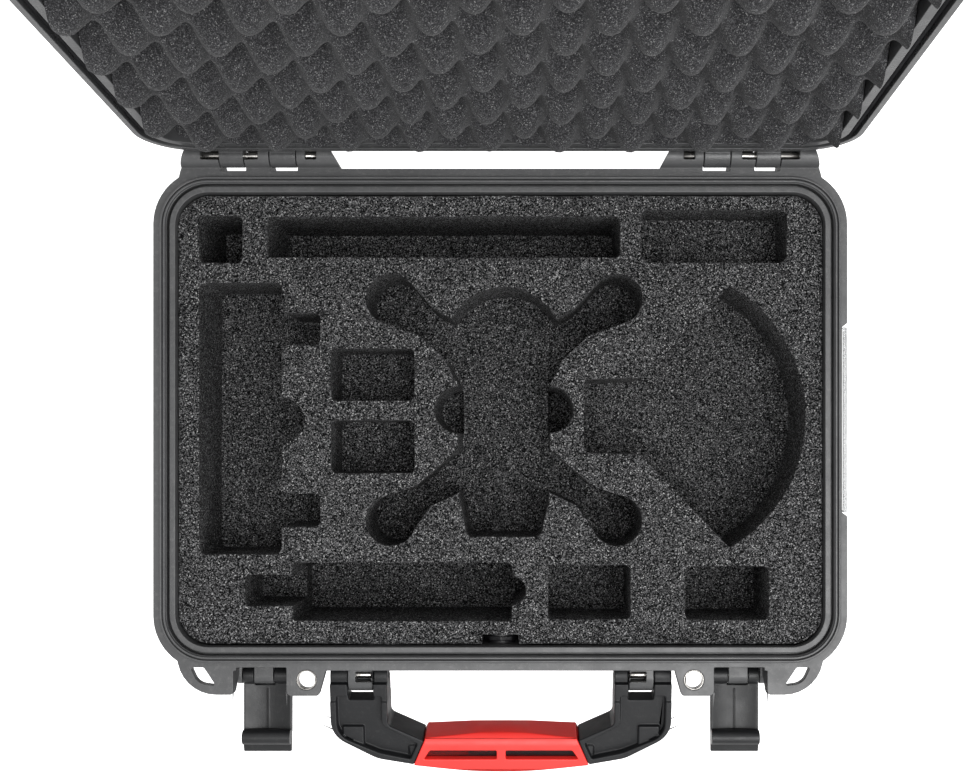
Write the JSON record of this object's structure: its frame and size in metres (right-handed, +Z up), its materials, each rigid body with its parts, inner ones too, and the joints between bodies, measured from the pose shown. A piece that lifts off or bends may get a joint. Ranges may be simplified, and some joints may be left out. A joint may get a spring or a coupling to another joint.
{
  "type": "drone carrying case",
  "caption": "Hard resin carrying case with a hinged lid, folding front handle, claw latches, egg-crate lid foam and a foam insert cut for a compact drone.",
  "frame": {"origin": "middle of the base's flat underside", "axes": "+X to the right as the open case is faced from its latches, +Y towards the hinges, +Z up"},
  "size_m": [0.39, 0.4216, 0.412],
  "materials": {
    "black_resin": "satin",
    "seal_rubber": "matte",
    "charcoal_foam": "matte",
    "egg_crate_foam": "matte",
    "latch_plastic": "satin",
    "handle_plastic": "satin",
    "red_grip": "satin",
    "steel": "polished",
    "valve_plastic": "satin",
    "valve_disc": "matte",
    "tag_card": "matte",
    "tag_window": "gloss"
  },
  "bodies": {
    "base": {"base_shell": "black_resin", "foam_insert": "charcoal_foam", "foam_base_pad": "charcoal_foam", "hinge_pin_left": "steel", "hinge_pin_right": "steel", "latch_pin_left": "steel", "latch_pin_right": "steel", "handle_pin_left": "steel", "handle_pin_right": "steel", "valve_body": "valve_plastic", "valve_nut": "valve_plastic", "valve_seal": "seal_rubber", "valve_disc": "valve_disc", "padlock_sleeve_left": "steel", "padlock_sleeve_right": "steel", "name_tag_card": "tag_card", "name_tag_window": "tag_window"},
    "lid": {"lid_shell": "black_resin", "lid_seal": "seal_rubber", "lid_foam": "egg_crate_foam", "lid_sleeve_left": "steel", "lid_sleeve_right": "steel"},
    "latch_left": {"latch_left": "latch_plastic"},
    "latch_right": {"latch_right": "latch_plastic"},
    "handle": {"handle_frame": "handle_plastic", "handle_grip": "red_grip"}
  },
  "joints": [
    {"name": "lid_hinge", "type": "hinge", "parent": "base", "child": "lid", "pos_m": [0, 0.148, 0.11], "axis": [1, 0, 0], "range_deg": [0, 95]},
    {"name": "latch_left_hinge", "type": "hinge", "parent": "base", "child": "latch_left", "pos_m": [-0.1343, -0.1465, 0.09], "axis": [-1, 0, 0], "range_deg": [0, 90]},
    {"name": "latch_right_hinge", "type": "hinge", "parent": "base", "child": "latch_right", "pos_m": [0.1343, -0.1465, 0.09], "axis": [-1, 0, 0], "range_deg": [0, 90]},
    {"name": "handle_hinge", "type": "hinge", "parent": "base", "child": "handle", "pos_m": [0, -0.1465, 0.09], "axis": [1, 0, 0], "range_deg": [-14, 76]}
  ]
}
